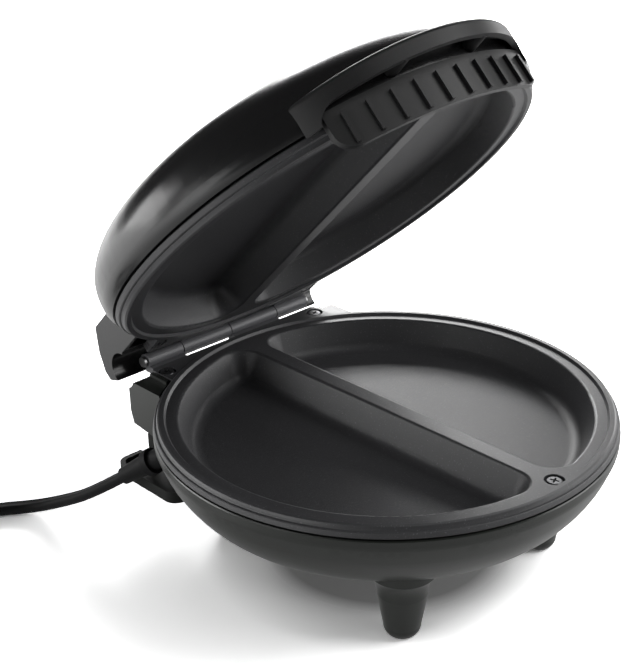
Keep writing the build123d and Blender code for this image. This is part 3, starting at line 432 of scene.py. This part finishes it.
# %% Metals
def worn_metal(name, color, roughness, stain=0.0):
    finish = Finish(name, color, roughness, metallic=1.0)
    cloud = finish.noise(60.0, detail=3.0)
    grain = finish.noise(3000.0, detail=1.0)
    finish.use(
        Base_Color=finish.blend(cloud, color, shade(color, 1.0 - stain)),
        Roughness=roughness - 0.05 + 0.1 * cloud + 0.05 * grain,
    )
    return finish.material


dark_steel = worn_metal("dark_steel", (0.16, 0.16, 0.165), 0.35)
bright_steel = worn_metal("bright_steel", (0.62, 0.62, 0.61), 0.28)
pin_steel = worn_metal("pin_steel", (0.30, 0.30, 0.30), 0.32)
element_sheath = worn_metal("element_sheath", (0.30, 0.28, 0.25), 0.45, stain=0.5)
reflector_sheet = worn_metal("reflector_sheet", (0.80, 0.80, 0.80), 0.30, stain=0.1)
brass = worn_metal("brass", (0.75, 0.58, 0.28), 0.25, stain=0.15)
metals = (dark_steel, bright_steel, pin_steel, element_sheath, reflector_sheet, brass)
print("metals:", [metal.name for metal in metals])

# %% [markdown]
# Rubber and the small parts inside get plain finishes of their own. The signal lights are clear coloured
# plastic: a little light goes through them, so they use transmission and a low roughness.

# %% Rubber, lenses and small parts
lead_rubber = moulded_plastic("lead_rubber", (0.0065, 0.0065, 0.007), 0.6, 0.00004, 1800.0, shine=0.2)
pad_rubber = moulded_plastic("pad_rubber", (0.028, 0.028, 0.028), 0.72, 0.00006, 1500.0)
tie_plastic = moulded_plastic("tie_plastic", (0.016, 0.016, 0.017), 0.42, 0.00002)
terminal_plastic = moulded_plastic("terminal_plastic", (0.62, 0.60, 0.52), 0.45, 0.00002)
wire_sleeve = moulded_plastic("wire_sleeve", (0.60, 0.60, 0.56), 0.55, 0.00003)


def signal_lens(name, color):
    finish = Finish(name, color, 0.12, Transmission_Weight=0.6)
    cloud = finish.noise(120.0, detail=1.0)
    finish.use(Roughness=0.10 + 0.06 * cloud)
    return finish.material


red_lens = signal_lens("red_lens", (0.55, 0.02, 0.015))
green_lens = signal_lens("green_lens", (0.03, 0.38, 0.06))
lamp_glass = signal_lens("lamp_glass", (0.75, 0.72, 0.68))
print("lenses:", [glass.name for glass in (red_lens, green_lens, lamp_glass)])

# %% [markdown]
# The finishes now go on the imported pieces, by name.

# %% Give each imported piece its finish
finishes = {
    base_plastic: ["base_housing"],
    cleat_plastic: ["cord_cleat_left", "cord_cleat_right"],
    lid_plastic: ["lid_housing"],
    handle_plastic: ["handle_hood", "handle_grip"],
    lower_coating: ["lower_plate"],
    upper_coating: ["upper_plate"],
    dark_steel: ["lower_plate_screws", "upper_plate_screws"],
    pin_steel: ["hinge_pin", "hinge_clip", "cleat_screws"],
    bright_steel: ["handle_screws", "lower_clamp_bars", "upper_clamp_bars", "lower_clamp_screws",
                   "upper_clamp_screws", "lower_reflector_screws", "upper_reflector_screws", "thermostat"],
    element_sheath: ["lower_heating_element", "upper_heating_element"],
    reflector_sheet: ["lower_reflector", "upper_reflector"],
    brass: ["plug_pins", "terminal_screws"],
    lead_rubber: ["cord_bushing", "plug_body"],
    pad_rubber: ["foot_pad_left_front", "foot_pad_left_rear", "foot_pad_right_front", "foot_pad_right_rear"],
    tie_plastic: ["cord_tie"],
    terminal_plastic: ["terminal_block", "thermal_fuse"],
    wire_sleeve: ["base_wires"],
    red_lens: ["lens_power"],
    green_lens: ["lens_ready"],
    lamp_glass: ["signal_lamps"],
}
lead.data.materials.append(lead_rubber)
for material, names in finishes.items():
    for name in names:
        mesh = frame["nodes"][name].data
        mesh.materials.clear()
        mesh.materials.append(material)
unfinished = set(frame["nodes"]) - {name for names in finishes.values() for name in names}
print("pieces without a finish of their own:", sorted(unfinished))

# %% [markdown]
# The cooker is photographed on pure white, with a soft dark patch only under the bowl. A Light Path node
# tells which kind of ray asks for a colour. The camera sees a very pale floor, so that its lit part turns
# into the white of the page, and a colour painted darker near the middle: a painted shadow under the bowl,
# on top of the bowl's real shadow. Far off, where the lamps hardly reach, the floor shines white by itself.
# Reflections see a floor that glows at the left and the right, which lights up the two sides of the shiny
# bowl.

# %% Floor
FLOOR_SIZE = 6.0
FLOOR_GAP = 0.0002         # keeps the floor's face clear of the feet's
FLOOR_PALE = 0.80
SHADE_FROM, SHADE_TO = 0.050, 0.086
CAMERA_NEAR, CAMERA_FAR = 0.42, 3.4
FAR_FROM, FAR_TO = 0.25, 0.70
GLOW_LOW, GLOW_LEFT, GLOW_RIGHT = 0.10, 1.6, 0.64
GLOW_SPAN = (0.12, 0.62)

bpy.ops.mesh.primitive_plane_add(size=FLOOR_SIZE, location=(0, 0, -FLOOR_GAP))
floor = bpy.context.object
floor.name = "floor"
floor_finish = Finish("floor_paint", (FLOOR_PALE,) * 3, 0.6, Specular_IOR_Level=0.0)
spot = floor_finish.position()
spot_x = floor_finish.along(spot, "X")
spot_y = floor_finish.along(spot, "Y") - middle_y
from_middle = (spot_x * spot_x + spot_y * spot_y).root()
sideways = spot_x * level_right.x + spot_y * level_right.y
to_left = (sideways * -1.0).between(*GLOW_SPAN)
to_right = sideways.between(*GLOW_SPAN)
glow = GLOW_LOW + GLOW_LEFT * to_left + GLOW_RIGHT * to_right
to_camera = floor_finish.ray("Is Camera Ray")
to_gloss = floor_finish.ray("Is Glossy Ray")
# painted shadow: for the camera the floor's colour is darker near the middle, under the bowl, and paler
# further out
camera_paleness_with_painted_shade = CAMERA_NEAR + (CAMERA_FAR - CAMERA_NEAR) * from_middle.between(SHADE_FROM, SHADE_TO)
paleness = (1.0 - to_camera) * FLOOR_PALE + to_camera * camera_paleness_with_painted_shade
far_off = from_middle.between(FAR_FROM, FAR_TO)
floor_finish.use(Base_Color=paleness, Emission_Color=to_gloss * glow + to_camera * far_off)
floor_finish.set(floor_finish.shader, {"Emission Strength": 1.0})
floor.data.materials.append(floor_finish.material)
bpy.ops.object.select_all(action="DESELECT")
print("floor", [round(size, 2) for size in floor.dimensions], "in", len(floor_finish.tree.nodes), "nodes")

# %% [markdown]
# Black plastic shows its surroundings more than its own colour. The camera sees white behind the cooker,
# but everything else sees a nearly dark room, so that the lamps alone draw the shapes.

# %% Surroundings
ROOM_LEVEL = 0.03

world = bpy.data.worlds.new("studio")
bpy.context.scene.world = world
world.use_nodes = True
world_tree = world.node_tree
sky = world_tree.nodes["Background"]
sky.inputs["Color"].default_value = (1, 1, 1, 1)
seen = world_tree.nodes.new("ShaderNodeLightPath")
by_camera = Wire(world_tree, seen.outputs["Is Camera Ray"])
level = by_camera + (1.0 - by_camera) * ROOM_LEVEL
world_tree.links.new(level.output, sky.inputs["Strength"])
print("room level", ROOM_LEVEL)

# %% [markdown]
# A ring of large soft panels stands round the cooker. Each is placed by its direction, counted in degrees
# from the front towards the right, and by its angle above the table. Low panels draw the rims and the
# silhouettes, the higher one at the front right lights the bowl and the handle's ribs, and the narrow one
# behind to the right shows in every level surface, such as the plate's rim and the hinge.

# %% Lamps
LAMP_AWAY = 1.5
LAMP_AIM = Vector((0, 0, 0.12))
LOW_PANEL = (0.9, 0.5)
HIGH_PANEL = (0.9, 0.8)
NARROW_PANEL = (0.8, 0.3)


def soft_panel(name, around, above, panel, watts):
    """A panel in some direction round the cooker, turned towards it."""
    lamp = bpy.data.lights.new(name, "AREA")
    lamp.shape = "RECTANGLE"
    lamp.size, lamp.size_y = panel
    lamp.energy = watts
    around, above = radians(around), radians(above)
    at = Vector((sin(around) * cos(above), -cos(around) * cos(above), sin(above))) * LAMP_AWAY
    held = bpy.data.objects.new(name, lamp)
    held.location = at
    held.rotation_mode = "QUATERNION"
    held.rotation_quaternion = (LAMP_AIM - at).to_track_quat("-Z", "Y")
    bpy.context.scene.collection.objects.link(held)


soft_panel("front_right_low", 45, 12, LOW_PANEL, 6.5)
soft_panel("front_right_high", 45, 40, HIGH_PANEL, 8.5)
soft_panel("right_low", 90, 12, LOW_PANEL, 6.5)
soft_panel("back_right_low", 135, 12, LOW_PANEL, 4.0)
soft_panel("back_right", 137, 26, NARROW_PANEL, 8.5)
soft_panel("back_left_low", -135, 12, LOW_PANEL, 8.5)
soft_panel("left_low", -90, 12, LOW_PANEL, 4.0)
soft_panel("front_top", 0, 65, HIGH_PANEL, 2.0)
bpy.context.scene.view_settings.view_transform = "Standard"
print("lamps", len(bpy.data.lights), "with", sum(lamp.energy for lamp in bpy.data.lights), "watts")
